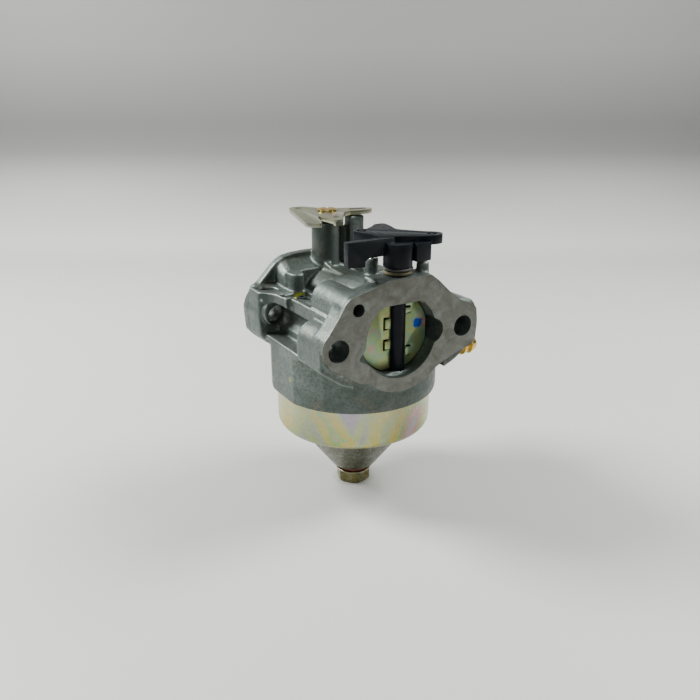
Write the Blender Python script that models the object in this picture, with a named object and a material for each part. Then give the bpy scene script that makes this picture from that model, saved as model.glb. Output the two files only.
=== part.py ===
"""Side-draught float carburetor of a small engine, modelled as separate pieces.

Frame: metres, +Z up along the float bowl axis, origin at the centre of the bowl
bolt's bottom face. Air flows along +Y from the choke flange to the engine flange.
"""
import bmesh
import bpy
from math import cos, pi, radians, sin
from mathutils import Matrix, Vector

MM = 0.001
GAP = 0.3

# Driving dimensions, millimetres
BORE_Z = 57.6
FRONT_Y = -27.0
REAR_Y = 22.5
FRONT_FLANGE_T = 6.0
REAR_FLANGE_T = 2.9
STUD_X = 21.0
STUD_HOLE_R = 3.25
STUD_BOSS_R = 5.3
CHOKE_BORE_R = 11.6
VENTURI_R = 6.6
THROTTLE_BORE_R = 7.6
CHOKE_X = 0.9
CHOKE_Y = -21.8
CHOKE_SHAFT_R = 2.6
CHOKE_FLOOR = -10.7
CHOKE_TOP_FLAT = 9.9
THROTTLE_Y = 16.0
THROTTLE_SHAFT_R = 2.5
SHAFT_CLEARANCE = 0.1
SKIRT_R = 26.0
SKIRT_BOTTOM = 35.4
SKIRT_TOP = 51.4
SKIRT_FLAT_X = -25.0
CHAMBER_R = 22.4
CHAMBER_ROOF = 43.0
BOWL_R = 24.3
BOWL_WALL = 0.9
BOWL_RIM = 37.6
COLUMN_R = 5.0
COLUMN_BOTTOM = 6.8
NEEDLE_X = 10.3
NEEDLE_Y = -10.3
HINGE_R = 19.8
HINGE_Z = 38.6
HINGE_ANGLE = -45.0
INLET_Y = -12.0
INLET_Z = 44.4
LEVER_Z = 29.2
LEVER_T = 1.3
CHOKE_TOP = 27.4
PILOT_X = -14.9
PILOT_Y = 5.6
MIXTURE_Y = 7.2
MIXTURE_H = 7.6


def clear_scene():
    for old in list(bpy.data.objects):
        bpy.data.objects.remove(old, do_unlink=True)


def material(name, colour, roughness, metallic):
    mat = bpy.data.materials.new(name)
    mat.use_nodes = True
    shader = mat.node_tree.nodes["Principled BSDF"]
    shader.inputs["Base Color"].default_value = (*colour, 1.0)
    shader.inputs["Roughness"].default_value = roughness
    shader.inputs["Metallic"].default_value = metallic
    mat.diffuse_color = (*colour, 1.0)
    return mat


def from_bmesh(name, bm):
    """Closed mesh object, in millimetres turned to metres, faces pointing out."""
    bmesh.ops.remove_doubles(bm, verts=bm.verts, dist=1e-5)
    bmesh.ops.recalc_face_normals(bm, faces=bm.faces)
    if bm.calc_volume(signed=True) < 0:
        bmesh.ops.reverse_faces(bm, faces=bm.faces)
    bmesh.ops.scale(bm, vec=(MM, MM, MM), verts=bm.verts)
    mesh = bpy.data.meshes.new(name)
    bm.to_mesh(mesh)
    bm.free()
    obj = bpy.data.objects.new(name, mesh)
    bpy.context.scene.collection.objects.link(obj)
    return obj


def place(u, v, w, axis):
    """Point with section coordinates u, v at distance w along an axis."""
    if axis == "x":
        return (w, u, v)
    if axis == "y":
        return (u, w, v)
    return (u, v, w)


def prism(points, axis, low, high, name="solid"):
    """Solid between two planes with the given section outline."""
    bm = bmesh.new()
    near = [bm.verts.new(place(u, v, low, axis)) for u, v in points]
    far = [bm.verts.new(place(u, v, high, axis)) for u, v in points]
    bm.faces.new(near)
    bm.faces.new(far[::-1])
    count = len(points)
    for i in range(count):
        j = (i + 1) % count
        bm.faces.new((near[i], near[j], far[j], far[i]))
    return from_bmesh(name, bm)


def circle(radius, centre=(0.0, 0.0), seg=32, start=0.0):
    turn = [start + 2 * pi * i / seg for i in range(seg)]
    return [(centre[0] + radius * cos(t), centre[1] + radius * sin(t)) for t in turn]


def arc(radius, centre, first, last, seg):
    turn = [radians(first + (last - first) * i / seg) for i in range(seg + 1)]
    return [(centre[0] + radius * cos(t), centre[1] + radius * sin(t)) for t in turn]


def rod(radius, axis, centre, low, high, seg=32, name="rod"):
    return prism(circle(radius, centre, seg), axis, low, high, name)


def box(x, y, z, name="box"):
    points = [(x[0], y[0]), (x[1], y[0]), (x[1], y[1]), (x[0], y[1])]
    return prism(points, "z", z[0], z[1], name)


def lathe(profile, axis, centre, seg=48, name="turned"):
    """Solid of revolution; profile is a closed loop of (radius, distance)."""
    bm = bmesh.new()
    rings = []
    for radius, along in profile:
        if radius < 1e-6:
            rings.append([bm.verts.new(place(centre[0], centre[1], along, axis))])
            continue
        ring = circle(radius, centre, seg)
        rings.append([bm.verts.new(place(u, v, along, axis)) for u, v in ring])
    loops = list(zip(rings, rings[1:] + rings[:1]))
    for one, two in loops:
        join_rings(bm, one, two, seg)
    return from_bmesh(name, bm)


def join_rings(bm, one, two, seg):
    if len(one) == 1 and len(two) == 1:
        return
    for i in range(seg):
        j = (i + 1) % seg
        if len(one) == 1:
            bm.faces.new((one[0], two[j], two[i]))
        elif len(two) == 1:
            bm.faces.new((one[i], one[j], two[0]))
        else:
            bm.faces.new((one[i], one[j], two[j], two[i]))


def loft(near, far, near_at, far_at, axis, name="loft"):
    """Solid between two section outlines that have the same number of points."""
    bm = bmesh.new()
    one = [bm.verts.new(place(u, v, near_at, axis)) for u, v in near]
    two = [bm.verts.new(place(u, v, far_at, axis)) for u, v in far]
    bm.faces.new(one)
    bm.faces.new(two[::-1])
    join_rings(bm, one, two, len(one))
    return from_bmesh(name, bm)


def tube(outer, inner, axis, centre, low, high, seg=40, name="tube"):
    profile = [(outer, low), (outer, high), (inner, high), (inner, low)]
    return lathe(profile, axis, centre, seg, name)


def boolean(obj, others, operation):
    """Join or cut a list of solids, then drop them."""
    group = bpy.data.collections.new("operands")
    for other in others:
        group.objects.link(other)
        other.hide_render = True
        other.display_type = "WIRE"
    mod = obj.modifiers.new("Boolean", "BOOLEAN")
    mod.operation = operation
    mod.operand_type = "COLLECTION"
    mod.collection = group
    mod.solver = "EXACT"
    graph = bpy.context.evaluated_depsgraph_get()
    graph.update()
    baked = bpy.data.meshes.new_from_object(obj.evaluated_get(graph))
    obj.modifiers.clear()
    obj.data = baked
    for other in others:
        bpy.data.objects.remove(other, do_unlink=True)
    bpy.data.collections.remove(group)
    return obj


def add(obj, *others):
    return boolean(obj, list(others), "UNION")


def cut(obj, *others):
    return boolean(obj, list(others), "DIFFERENCE")


def turn(obj, degrees, point):
    """Turn a solid about the vertical through a point given in millimetres."""
    centre = Vector((point[0] * MM, point[1] * MM, 0.0))
    spin = Matrix.Translation(centre) @ Matrix.Rotation(radians(degrees), 4, "Z")
    obj.data.transform(spin @ Matrix.Translation(-centre))
    return obj


def finish(obj, name, mat, axis_point=None, parent=None):
    """Name, shade and colour a piece, and put its origin on its axis."""
    obj.name = name
    obj.data.name = name
    obj.data.materials.clear()
    obj.data.materials.append(mat)
    if axis_point is not None:
        shift = Vector(axis_point) * MM
        obj.data.transform(Matrix.Translation(-shift))
        obj.location = shift
    obj.data.shade_smooth()
    obj.data.set_sharp_from_angle(angle=radians(35))
    if parent is not None:
        spot = obj.location.copy()
        obj.parent = parent
        obj.location = spot - parent.location
    return obj


def axis_empty(name, point):
    empty = bpy.data.objects.new(name, None)
    empty.location = Vector(point) * MM
    empty.empty_display_size = 0.01
    bpy.context.scene.collection.objects.link(empty)
    return empty


def raised(points):
    """Section outline given about the bore axis, lifted to world height."""
    return [(u, v + BORE_Z) for u, v in points]


# ---------------------------------------------------------------- casting

def front_outline():
    """Choke flange: hexagon-like top, two ears, round bottom about the bore."""
    top = [(-5.8, 17.1), (8.8, 17.1), (11.8, 14.9), (15.5, 11.4), (20.2, 7.8)]
    right = [(24.6, 6.4), (26.0, 4.6), (26.5, 0.4), (26.1, -4.8), (24.6, -6.6)]
    under = [(20.5, -7.5), (16.6, -8.8), (12.9, -10.6)]
    bottom = arc(16.1, (0.0, 0.0), -45, -134, 10)
    left = [(-14.4, -10.7), (-19.2, -7.5), (-23.8, -4.5), (-25.5, -1.9)]
    ear = [(-26.2, 1.0), (-25.4, 3.4), (-23.7, 5.3), (-20.9, 9.2), (-19.0, 12.4)]
    back = [(-17.4, 13.9), (-14.6, 14.6), (-9.9, 15.8)]
    return (top + right + under + bottom + left + ear + back)[::-1]


def rear_outline():
    """Engine flange: the same family of outline with deeper ears."""
    top = [(-5.0, 16.4), (7.5, 16.4), (11.8, 14.3), (15.6, 11.0), (20.2, 7.8)]
    right = [(24.6, 6.4), (26.6, 3.4), (27.0, -3.0), (26.4, -6.8), (23.5, -9.6)]
    bottom = [(17.0, -13.2), (10.0, -15.0), (-10.0, -15.0), (-17.0, -14.2)]
    left = [(-20.5, -12.2), (-24.6, -8.9), (-26.6, -6.6), (-27.1, 0.8)]
    back = [(-26.2, 3.6), (-24.6, 5.8), (-20.9, 9.6), (-17.0, 13.6), (-14.0, 15.4)]
    return (top + right + bottom + left + back + [(-10.4, 16.1)])[::-1]


def skirt():
    """Round lower casting, with a flat on its left side."""
    profile = [(0.0, SKIRT_BOTTOM), (25.6, SKIRT_BOTTOM), (SKIRT_R, 36.0)]
    profile += [(SKIRT_R, SKIRT_TOP - 0.8), (SKIRT_R - 0.8, SKIRT_TOP), (0.0, SKIRT_TOP)]
    solid = lathe(profile, "z", (0.0, 0.0), 64)
    side = box((-40.0, SKIRT_FLAT_X), (-12.0, 12.0), (30.0, 60.0))
    return cut(solid, side)


def flanges():
    front_back = FRONT_Y + FRONT_FLANGE_T
    front = prism(raised(front_outline()), "y", FRONT_Y, front_back)
    rear = prism(raised(rear_outline()), "y", REAR_Y - REAR_FLANGE_T, REAR_Y)
    return [front, rear]


def stud_boss(side):
    """Front stud boss: round top over straight walls that run into the skirt."""
    x = side * STUD_X
    outline = arc(STUD_BOSS_R, (x, 0.0), 0, 180, 14)
    left = [(x - STUD_BOSS_R, -5.6), (x - side * 1.0, -10.4), (x + STUD_BOSS_R, -12.4)]
    right = [(x - STUD_BOSS_R, -12.4), (x - side * 1.0, -10.4), (x + STUD_BOSS_R, -5.6)]
    outline += left if side < 0 else right
    return prism(raised(outline), "y", FRONT_Y + 1.0, -12.6)


def rear_ear(side):
    """Thick ear that carries the rear stud hole, with a sloping ledge on top."""
    outline = [(16.0, -11.5), (20.6, -11.5), (24.4, -8.6), (26.4, -6.4)]
    outline += [(26.9, 0.8), (26.0, 3.9), (24.8, 6.2), (24.0, 7.0), (16.0, 7.0)]
    points = [(side * x, h) for x, h in outline]
    high = points[:-3] + [(side * 24.9, 6.9), (side * 24.0, 7.9), (side * 16.0, 7.9)]
    return loft(raised(points), raised(high), 11.5, REAR_Y - 0.5, "y")


def rear_block():
    """Body of the throttle end: its top falls from the rear flange to the front."""
    front = [(-16.9, -13.0), (-16.9, 8.2), (-16.5, 9.8), (-15.6, 11.2), (-14.0, 12.0)]
    front += [(-10.0, 12.3), (-4.0, 12.4), (6.0, 12.4), (10.0, 11.6), (12.6, 9.2)]
    front += [(13.6, 6.0), (13.6, -13.0)]
    back = [(-16.9, -13.0), (-16.9, 10.4), (-16.4, 12.8), (-15.2, 14.4), (-13.4, 15.2)]
    back += [(-10.0, 15.5), (-4.0, 15.6), (6.0, 15.6), (10.5, 13.6), (13.0, 10.6)]
    back += [(13.6, 6.0), (13.6, -13.0)]
    return loft(raised(front), raised(back), 12.8, REAR_Y - 1.8, "y")


def barrel():
    """Round air barrel between the two ends."""
    profile = [(0.0, -26.0), (15.2, -26.0), (15.2, -10.0), (14.0, -4.0)]
    profile += [(12.6, 2.0), (12.2, 14.0), (0.0, 14.0)]
    return lathe(profile, "y", (0.0, BORE_Z), 44)


def core_blocks():
    """Material under the barrel, the bar beside it and its inner ledge."""
    under = box((-12.0, 12.0), (-22.9, 21.5), (44.0, BORE_Z - 1.0))
    sides = box((-16.6, 16.6), (-19.6, 19.6), (44.1, BORE_Z - 1.1))
    bar_top = BORE_Z + 6.9
    bar = box((-20.6, -11.0), (-25.0, 13.0), (BORE_Z + 2.2, bar_top))
    ridge = box((-17.9, -11.2), (-24.8, -3.0), (BORE_Z + 6.0, BORE_Z + 7.3))
    right_bar = box((11.0, 20.2), (-25.0, 13.0), (BORE_Z - 1.4, BORE_Z + 2.6))
    shelf_low = BORE_Z - 7.6
    shelf = box((SKIRT_FLAT_X - 0.05, -15.0), (-10.4, 13.6), (shelf_low, BORE_Z - 5.6))
    wall = box((-19.9, -11.0), (-13.5, 13.4), (BORE_Z - 6.0, BORE_Z + 3.0))
    return [under, sides, bar, ridge, right_bar, shelf, wall]


def left_ledge():
    """Collar around the left stud, the ledge over it and the lip beside its recess."""
    collar = rod(4.3, "y", (-21.6, BORE_Z + 1.2), 9.3, 13.0, 32)
    outline = [(-26.6, 11.8), (-24.6, 9.8), (-23.0, 7.4), (-22.6, 4.6), (-22.4, 1.4)]
    outline += [(-20.0, 1.4), (-20.0, 12.6), (-20.7, 12.9), (-23.4, 13.2), (-24.8, 14.2)]
    ledge = prism(outline, "z", BORE_Z + 4.6, BORE_Z + 7.7)
    edge = [(-26.6, 11.8), (-24.6, 13.6), (-25.6, 15.8), (-24.4, 17.4), (-24.4, 19.0)]
    lip = prism(edge + [(-26.4, 19.0)], "z", BORE_Z + 2.0, BORE_Z + 7.7)
    return [collar, ledge, lip]


def hub_blocks():
    """Choke hub, stop post, and the bosses on top of the casting."""
    hub = box((-8.2, 9.6), (FRONT_Y + 1.0, -18.4), (BORE_Z + 9.0, BORE_Z + 17.1))
    stop_profile = [(0.0, BORE_Z + 15.0), (1.85, BORE_Z + 15.0), (1.85, BORE_Z + 19.4)]
    stop_profile += [(1.5, BORE_Z + 19.9), (0.8, BORE_Z + 20.2), (0.0, BORE_Z + 20.25)]
    stop = lathe(stop_profile, "z", (9.2, -22.2), 24)
    passage = rod(5.2, "y", (-14.85, BORE_Z + 9.7), FRONT_Y + 1.0, -9.6, 32)
    channel = rod(1.95, "z", (-0.6, -11.0), BORE_Z + 10.0, BORE_Z + 19.8, 24)
    return [hub, stop, passage, channel]


def throttle_blocks():
    """Tall throttle shaft boss, its web and the lever stop post."""
    boss = rod(4.4, "z", (-0.7, THROTTLE_Y), BORE_Z + 8.0, BORE_Z + 26.2, 40)
    web_outline = [(0.0, 8.0), (10.4, 8.0), (10.4, 22.6), (3.4, 24.6), (0.0, 25.2)]
    web = prism(raised(web_outline), "y", 14.9, 17.1)
    post = box((6.2, 11.4), (12.0, 16.2), (BORE_Z + 8.0, BORE_Z + 27.5))
    step_outline = [(-16.4, 14.0), (-16.4, 10.0), (-15.7, 8.6), (-14.3, 8.0)]
    step_outline += [(-12.9, 8.3), (-12.0, 9.4), (-11.8, 14.0)]
    step = prism(step_outline, "z", BORE_Z + 2.8, BORE_Z + 12.4)
    rib_outline = [(-6.0, 8.0), (13.6, 8.0), (13.6, 14.4), (8.0, 13.0), (-6.0, 12.6)]
    rib = prism(raised(rib_outline), "x", -3.4, -1.4)
    mixture = rod(2.9, "x", (MIXTURE_Y, BORE_Z + MIXTURE_H), 7.6, 17.2, 28)
    return [boss, web, post, step, rib, mixture]


def right_boss():
    """Cast shoulder behind the right ear."""
    outline = [(12.0, -7.0), (26.6, -6.2), (27.2, 0.6), (26.9, 5.4), (25.6, 6.9)]
    outline += [(18.4, 9.9), (12.0, 10.4)]
    return prism(raised(outline), "y", FRONT_Y + 1.6, -19.0)


def inner_solids():
    """Jet column, needle seat boss and float hinge lugs inside the chamber."""
    roof = CHAMBER_ROOF + 1.0
    column = rod(COLUMN_R, "z", (0.0, 0.0), COLUMN_BOTTOM, roof, 32)
    seat = rod(3.5, "z", (NEEDLE_X, NEEDLE_Y), 38.9, roof, 28)
    lugs = []
    for side in (-1, 1):
        near, far = sorted((side * 3.9, side * 5.7))
        lug = box((HINGE_R - 1.3, HINGE_R + 1.3), (near, far), (37.2, roof))
        lugs.append(turn(lug, HINGE_ANGLE, (0.0, 0.0)))
    return [column, seat] + lugs


def chamber_cuts():
    chamber = rod(CHAMBER_R, "z", (0.0, 0.0), 30.0, CHAMBER_ROOF, 48)
    seat = rod(BOWL_R + 0.3, "z", (0.0, 0.0), 30.0, 39.3, 64)
    return [chamber, seat]


def flat_round(radius, centre, low, high, seg):
    """Circle section with its bottom and top cut off at given heights."""
    points = circle(radius, centre, seg)
    return [(u, max(low, min(high, v))) for u, v in points]


def bore_cuts():
    """Choke bore with flat floor and roof, venturi, throttle bore, side pockets."""
    lip = flat_round(CHOKE_BORE_R + 0.25, (-0.6, 0.1), -30.0, CHOKE_TOP_FLAT + 0.2, 48)
    mouth = prism(raised(lip), "y", FRONT_Y - 1.0, -24.8)
    inner = flat_round(CHOKE_BORE_R, (0.0, 0.0), CHOKE_FLOOR, CHOKE_TOP_FLAT, 48)
    choke = prism(raised(inner), "y", -25.2, -10.2)
    corner = [(-14.9, -3.9), (-13.7, -2.3), (-11.2, 0.8), (-6.0, -2.0), (-6.0, -10.0)]
    corner += [(-8.6, -8.9), (-12.1, -5.4)]
    wedge = prism(raised(corner), "y", FRONT_Y - 1.1, -23.4)
    profile = [(0.0, -10.6), (CHOKE_TOP_FLAT - 0.2, -10.6), (9.3, -8.2)]
    profile += [(7.4, -4.4), (VENTURI_R, -1.8), (VENTURI_R, 1.0), (7.0, 5.0)]
    profile += [(THROTTLE_BORE_R, 8.4), (THROTTLE_BORE_R, REAR_Y + 1.0)]
    profile += [(0.0, REAR_Y + 1.0)]
    venturi = lathe(profile, "y", (0.0, BORE_Z), 44)
    pocket = rod(3.65, "y", (10.1, BORE_Z + 0.35), FRONT_Y - 1.2, -16.2, 28)
    return [mouth, choke, wedge, venturi, pocket]


def stud_cuts():
    """Stud holes and the socket in the right rear ear."""
    holes = []
    for side in (-1, 1):
        centre = (side * STUD_X, BORE_Z)
        holes.append(rod(STUD_HOLE_R, "y", centre, FRONT_Y - 1.0, -12.0, 28))
        holes.append(rod(STUD_HOLE_R + 0.15, "y", centre, -12.8, 13.2, 28))
        holes.append(rod(STUD_HOLE_R - 0.25, "y", centre, 13.0, REAR_Y + 1.0, 28))
    socket = arc(3.55, (21.6, 1.4), 0, 180, 12) + [(18.05, -5.55), (25.15, -5.55)]
    holes.append(prism(raised(socket), "y", 9.0, 18.4))
    return holes


def hollow_cuts():
    """Recess in the left ledge and the jet pit."""
    recess = [(-25.0, 15.8), (-24.1, 16.7), (-22.0, 17.5), (-19.5, 16.0)]
    recess += [(-18.9, 13.6), (-20.7, 12.9), (-23.4, 13.2), (-24.8, 14.2)]
    pit = [(-22.0, 6.4), (-22.0, 3.6), (-19.6, 3.3), (-17.4, 1.6), (-15.5, -0.7)]
    pit += [(-12.4, -0.7), (-12.4, 7.0), (-13.4, 7.9), (-15.8, 8.4), (-16.9, 8.2)]
    cuts = [prism(recess, "z", BORE_Z + 2.8, BORE_Z + 9.0)]
    cuts.append(prism(pit, "z", BORE_Z + 4.9, BORE_Z + 9.2))
    return cuts


def passage_cuts():
    """Shaft bores and the drilled air and fuel passages."""
    choke_r = CHOKE_SHAFT_R + SHAFT_CLEARANCE
    throttle_r = THROTTLE_SHAFT_R + SHAFT_CLEARANCE
    cuts = [
        rod(choke_r, "z", (CHOKE_X, CHOKE_Y), BORE_Z - 13.2, BORE_Z + 20.0, 28),
        rod(throttle_r, "z", (0.0, THROTTLE_Y), BORE_Z - 10.2, BORE_Z + 30.0, 28),
        rod(1.85, "y", (-14.85, BORE_Z + 10.4), FRONT_Y - 1.0, -14.6, 24),
        rod(1.9, "y", (10.4, BORE_Z + 0.6), -17.0, -12.4, 20),
        rod(3.3, "z", (0.0, 0.0), 5.0, 18.8, 28),
        rod(2.75, "z", (0.0, 0.0), 18.0, BORE_Z, 28),
        rod(2.05, "z", (NEEDLE_X, NEEDLE_Y), 37.0, 43.8, 20),
        rod(0.9, "z", (NEEDLE_X, NEEDLE_Y - 0.6), 43.0, INLET_Z, 12),
        rod(1.1, "x", (INLET_Y, INLET_Z), NEEDLE_X - 1.2, 24.0, 16),
        rod(2.0, "x", (INLET_Y, INLET_Z), 21.8, 29.0, 20),
        rod(1.0, "z", (12.4, -17.2), 42.0, BORE_Z, 12),
        rod(1.75, "z", (PILOT_X, PILOT_Y), BORE_Z + 2.4, BORE_Z + 9.0, 24),
        rod(1.95, "x", (MIXTURE_Y, BORE_Z + MIXTURE_H), 9.4, 18.0, 24),
        rod(1.6, "z", (8.8, 17.9), BORE_Z + 11.8, BORE_Z + 17.0, 24),
        rod(1.25, "z", (-0.6, -11.0), BORE_Z + 16.6, BORE_Z + 20.4, 20),
    ]
    pin_hole = rod(1.05, "y", (HINGE_R, HINGE_Z), -7.0, 7.0, 20)
    cuts.append(turn(pin_hole, HINGE_ANGLE, (0.0, 0.0)))
    return cuts


def make_body(mat):
    body = skirt()
    inlet = rod(4.3, "x", (INLET_Y, INLET_Z), 18.0, 27.6, 32)
    blocks = flanges() + core_blocks() + hub_blocks() + throttle_blocks()
    blocks += [stud_boss(-1), stud_boss(1), rear_ear(-1), rear_ear(1)]
    blocks += [rear_block(), barrel(), right_boss(), inlet] + left_ledge()
    add(body, *blocks)
    cut(body, *chamber_cuts())
    add(body, *inner_solids())
    cut(body, *(bore_cuts() + stud_cuts() + hollow_cuts()))
    cut(body, *passage_cuts())
    return finish(body, "carburetor_body", mat)


# ---------------------------------------------------------------- bowl side

def make_bowl(mat):
    """Deep-drawn bowl: straight wall, rounded corner, conical bottom."""
    outer = [(BOWL_R, BOWL_RIM), (BOWL_R, 24.6), (23.4, 22.7), (21.9, 22.0)]
    outer += [(18.8, 21.6), (7.0, 6.1), (5.8, 5.6)]
    inner = [(3.5, 5.6), (3.5, 6.5), (5.6, 6.6), (18.0, 22.5), (21.5, 22.9)]
    inner += [(22.8, 23.6), (BOWL_R - BOWL_WALL, 25.0), (BOWL_R - BOWL_WALL, BOWL_RIM)]
    bowl = lathe(outer + inner, "z", (0.0, 0.0), 56)
    return finish(bowl, "float_bowl", mat)


def make_bolt(mat):
    hexagon = circle(10.0 / 2 / cos(pi / 6), (0.0, 0.0), 6, radians(8))
    bolt = prism(hexagon, "z", 0.0, 4.0)
    chamfer = lathe([(0.0, -1.0), (4.2, -1.0), (6.2, 1.2), (6.2, 6.0), (0.0, 6.0)], "z",
                    (0.0, 0.0), 32)
    boolean(bolt, [chamfer], "INTERSECT")
    profile = [(0.0, 3.6), (5.2, 3.6), (5.7, 3.9), (5.7, 4.4), (3.0, 4.4), (3.0, 17.4)]
    profile += [(2.4, 18.2), (0.0, 18.2)]
    add(bolt, lathe(profile, "z", (0.0, 0.0), 32))
    return finish(bolt, "bowl_bolt", mat)


def make_seals(rubber, fibre, felt, foam, nylon):
    gasket = tube(BOWL_R, 22.9, "z", (0.0, 0.0), 37.9, 39.0, 48)
    finish(gasket, "bowl_gasket", rubber)
    washer = tube(5.4, 3.4, "z", (0.0, 0.0), 4.7, 5.3, 32)
    finish(washer, "bowl_bolt_washer", fibre)
    low = BORE_Z + 17.4
    hub = (CHOKE_X, CHOKE_Y)
    finish(tube(4.1, 2.95, "z", hub, low, low + 1.0, 28), "choke_felt_washer", felt)
    finish(tube(4.3, 2.95, "z", hub, low + 1.3, low + 1.9, 28), "choke_seal_ring", foam)
    top = BORE_Z + 26.5
    ring = tube(3.9, 2.85, "z", (0.0, THROTTLE_Y), top, top + 0.9, 28)
    finish(ring, "throttle_shaft_seal", nylon)


def make_float(mat):
    """Ring float with a tang over its hinge knuckle."""
    profile = [(7.4, 24.6), (8.2, 23.8), (18.4, 23.8), (19.4, 24.8), (19.4, 33.2)]
    profile += [(18.6, 34.0), (8.2, 34.0), (7.4, 33.2)]
    ring = lathe(profile, "z", (0.0, 0.0), 36)
    riser = box((15.4, 18.6), (-2.7, 2.7), (33.0, 36.4))
    tang = box((12.0, 19.0), (-3.0, 3.0), (36.0, 36.9))
    link = box((18.4, 20.3), (-2.4, 2.4), (36.2, 37.5))
    knuckle = rod(1.6, "y", (HINGE_R, HINGE_Z), -3.3, 3.3, 24)
    for piece in (riser, tang, link, knuckle):
        turn(piece, HINGE_ANGLE, (0.0, 0.0))
    add(ring, riser, tang, link, knuckle)
    hole = turn(rod(0.85, "y", (HINGE_R, HINGE_Z), -5.0, 5.0, 20), HINGE_ANGLE, (0.0, 0.0))
    cut(ring, hole)
    reach = HINGE_R * cos(radians(HINGE_ANGLE))
    return finish(ring, "float", mat, (reach, -reach, HINGE_Z))


def make_valve(steel, brass, pin_mat):
    pin = rod(0.75, "y", (HINGE_R, HINGE_Z), -6.0, 6.0, 20)
    turn(pin, HINGE_ANGLE, (0.0, 0.0))
    finish(pin, "float_hinge_pin", pin_mat)
    spot = (NEEDLE_X, NEEDLE_Y)
    profile = [(0.0, 37.2), (0.9, 37.2), (1.0, 38.0), (1.35, 38.3), (1.35, 40.6)]
    profile += [(0.55, 41.9), (0.0, 42.05)]
    needle = lathe(profile, "z", spot, 24)
    finish(needle, "float_needle", steel, (NEEDLE_X, NEEDLE_Y, 38.0))
    seat = tube(1.7, 0.85, "z", spot, 42.4, 43.5, 24)
    finish(seat, "needle_seat", brass)


def make_jets(brass, dark):
    centre = (0.0, 0.0)
    jet = [(2.4, 19.1), (2.4, 22.2), (0.5, 22.2), (0.5, 20.6), (1.1, 19.1)]
    finish(lathe(jet, "z", centre, 28), "main_jet", brass)
    nozzle = [(2.4, 22.5), (2.4, 44.0), (2.1, 44.6), (2.1, 52.6), (1.7, 53.0)]
    nozzle += [(1.2, 53.0), (1.2, 22.5)]
    finish(lathe(nozzle, "z", centre, 28), "main_nozzle", brass)
    low = BORE_Z + 2.7
    head = BORE_Z + 5.3
    pilot = [(0.0, low), (0.8, low), (1.4, low + 0.6), (1.4, head), (1.7, head + 0.1)]
    pilot += [(1.7, head + 0.7), (1.3, head + 0.9), (0.5, head + 0.9), (0.5, head - 0.6)]
    pilot += [(0.0, head - 0.8)]
    finish(lathe(pilot, "z", (PILOT_X, PILOT_Y), 24), "pilot_jet", dark)
    air = [(1.5, -18.4), (1.5, -15.0), (0.45, -15.0), (0.45, -17.4), (0.9, -18.4)]
    finish(lathe(air, "y", (-14.85, BORE_Z + 10.4), 24), "pilot_air_jet", brass)
    main_air = [(1.55, -15.9), (1.55, -12.7), (0.5, -12.7), (0.5, -15.0), (0.9, -15.9)]
    finish(lathe(main_air, "y", (10.4, BORE_Z + 0.6), 24), "main_air_jet", brass)


# ---------------------------------------------------------------- throttle

def make_throttle_shaft(mat, parent):
    """Shaft with a plate slot and a head staked into two lobes."""
    top = BORE_Z + LEVER_Z
    r = THROTTLE_SHAFT_R
    profile = [(0.0, BORE_Z - 9.8), (r - 0.4, BORE_Z - 9.8), (r, BORE_Z - 9.4), (r, top + 0.3)]
    profile += [(3.0, top + 0.35), (2.9, top + 0.7), (2.3, top + 0.95), (0.0, top + 0.95)]
    shaft = lathe(profile, "z", (0.0, THROTTLE_Y), 28)
    half = 0.8
    slot = box((-4.0, 4.0), (THROTTLE_Y - half, THROTTLE_Y + half), (BORE_Z - 7.7, BORE_Z + 7.7))
    notch = box((-0.35, 0.35), (THROTTLE_Y - 4.0, THROTTLE_Y + 4.0), (top + 0.45, top + 2.0))
    turn(notch, -31.0, (0.0, THROTTLE_Y))
    holes = [rod(1.1, "y", (0.0, BORE_Z + h), THROTTLE_Y - 4.0, THROTTLE_Y + 4.0, 20)
             for h in (-3.2, 3.2)]
    cut(shaft, slot, notch, *holes)
    return finish(shaft, "throttle_shaft", mat, (0.0, THROTTLE_Y, BORE_Z), parent)


def make_throttle_plate(mat, screw_mat, parent):
    outline = raised(circle(THROTTLE_BORE_R - GAP, (0.0, 0.0), 40))
    plate = prism(outline, "y", THROTTLE_Y - 0.5, THROTTLE_Y + 0.5)
    holes = [rod(1.1, "y", (0.0, BORE_Z + h), THROTTLE_Y - 2.0, THROTTLE_Y + 2.0, 20)
             for h in (-3.2, 3.2)]
    cut(plate, *holes)
    spot = (0.0, THROTTLE_Y, BORE_Z)
    finish(plate, "throttle_plate", mat, spot, parent)
    for name, h in (("throttle_plate_screw_upper", 3.2), ("throttle_plate_screw_lower", -3.2)):
        y = THROTTLE_Y
        profile = [(0.0, y - 4.0), (1.1, y - 4.0), (1.6, y - 3.6), (1.6, y - 2.85), (0.8, y - 2.85)]
        profile += [(0.8, y + 1.9), (0.5, y + 2.2), (0.0, y + 2.2)]
        screw = lathe(profile, "y", (0.0, BORE_Z + h), 20)
        slot = box((-0.25, 0.25), (y - 5.0, y - 3.5), (BORE_Z + h - 2.5, BORE_Z + h + 2.5))
        cut(screw, slot)
        finish(screw, name, screw_mat, spot, parent)


def lever_outline():
    """Throttle lever: rear tip, slotted right arm, front finger, left wing."""
    rear = [(-8.3, 25.4), (-7.9, 26.9), (-6.6, 28.0), (-4.6, 28.4), (-2.8, 27.8)]
    back = [(-1.6, 26.4), (0.4, 22.8), (3.0, 20.4), (7.6, 18.4), (11.6, 16.6)]
    right = [(13.9, 15.8), (15.0, 14.2), (14.6, 12.4), (12.6, 11.3), (9.6, 11.5)]
    front = [(6.0, 12.5), (3.4, 11.2), (0.6, 7.0), (-3.4, 0.2), (-6.0, 0.6), (-6.2, 5.0)]
    wing = [(-6.5, 9.4), (-7.5, 8.4), (-10.6, 0.6), (-11.6, -1.7), (-14.6, 0.2)]
    return (rear + back + right + front + wing + [(-15.2, 1.4)])[::-1]


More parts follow.
